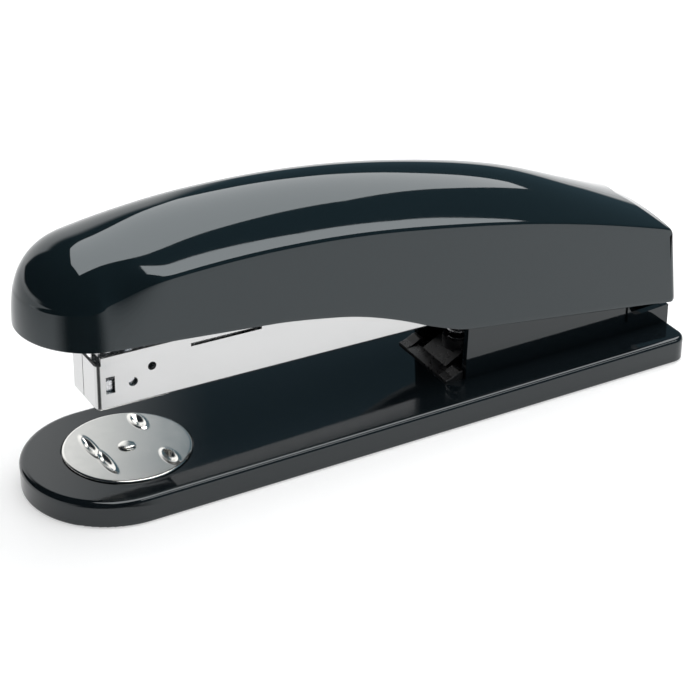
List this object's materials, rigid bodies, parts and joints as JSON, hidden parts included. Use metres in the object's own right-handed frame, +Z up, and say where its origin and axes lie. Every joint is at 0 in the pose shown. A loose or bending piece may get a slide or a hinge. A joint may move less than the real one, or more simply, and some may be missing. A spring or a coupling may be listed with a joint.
{
  "type": "desk stapler",
  "caption": "Full-strip desk stapler: arched glossy cap over a plated magazine, sprung on a round-nosed base with a turning anvil.",
  "frame": {"origin": "middle of the underside of the base, on the desk", "axes": "+Z up, -Y towards the stapling end, +Y towards the hinge, X across"},
  "size_m": [0.0454, 0.1815, 0.072],
  "materials": {
    "cover_plastic": "polished injection-moulded ABS, black with a blue-black sheen",
    "base_plastic": "polished injection-moulded ABS, black",
    "bracket_plastic": "satin black moulding",
    "pusher_plastic": "satin black acetal",
    "nylon": "natural nylon",
    "rubber": "soft black non-slip mat",
    "magazine_chrome": "bright nickel-chrome plated sheet steel",
    "anvil_nickel": "bright nickel plated steel",
    "zinc_steel": "zinc plated pressed steel",
    "hard_steel": "hardened strip steel with an oil sheen",
    "pin_steel": "turned bright steel",
    "screw_steel": "zinc plated screw",
    "spring_steel": "drawn spring wire",
    "staple_wire": "galvanised flat wire, glued into a strip"
  },
  "bodies": {
    "base": {"base_shell": "base_plastic", "base_pad": "rubber", "spring_bracket": "bracket_plastic", "bracket_screws": "screw_steel", "lift_spring": "spring_steel", "magazine_stop": "zinc_steel", "hinge_pin": "pin_steel", "pin_clip": "spring_steel", "hinge_spacers": "nylon", "anvil_spring": "spring_steel"},
    "anvil_button": {"anvil_post": "anvil_nickel", "anvil_button": "zinc_steel"},
    "anvil": {"anvil_plate": "anvil_nickel"},
    "magazine": {"magazine_channel": "magazine_chrome", "staple_rail": "magazine_chrome", "rail_pins": "pin_steel", "staple_strip": "staple_wire", "rod_front_block": "nylon", "rod_rear_stop": "nylon", "guide_rod": "pin_steel", "pusher_spring": "spring_steel", "return_spring": "spring_steel"},
    "pusher": {"pusher": "pusher_plastic"},
    "handle": {"cover_shell": "cover_plastic", "handle_frame": "zinc_steel", "driver_blade": "hard_steel", "blade_rivets": "pin_steel", "cover_screws": "screw_steel"}
  },
  "joints": [
    {"name": "magazine_dip", "type": "hinge", "parent": "base", "child": "magazine", "pos_m": [0, 0.08, 0.028], "axis": [1, 0, 0], "range_deg": [0, 5.6], "stiffness_Nm_per_rad": 2.2, "springref_deg": -5.16, "deforming": ["lift_spring"]},
    {"name": "handle_swing", "type": "hinge", "parent": "magazine", "child": "handle", "pos_m": [0, 0.08, 0.028], "axis": [1, 0, 0], "range_deg": [-80, 5.2], "deforming": ["return_spring"]},
    {"name": "pusher_travel", "type": "slide", "parent": "magazine", "child": "pusher", "axis": [0, 0.9998, -0.0193], "range_m": [0, 0.038], "stiffness_N_per_m": 60, "springref_m": -0.02, "deforming": ["pusher_spring"]},
    {"name": "anvil_press", "type": "slide", "parent": "base", "child": "anvil_button", "axis": [0, 0, 1], "range_m": [0, 0.0006], "stiffness_N_per_m": 800, "springref_m": -0.001, "deforming": ["anvil_spring"]},
    {"name": "anvil_turn", "type": "hinge", "parent": "anvil_button", "child": "anvil", "pos_m": [0, -0.06383, 0.0078], "axis": [0, 0, 1], "range_deg": [0, 180]}
  ]
}
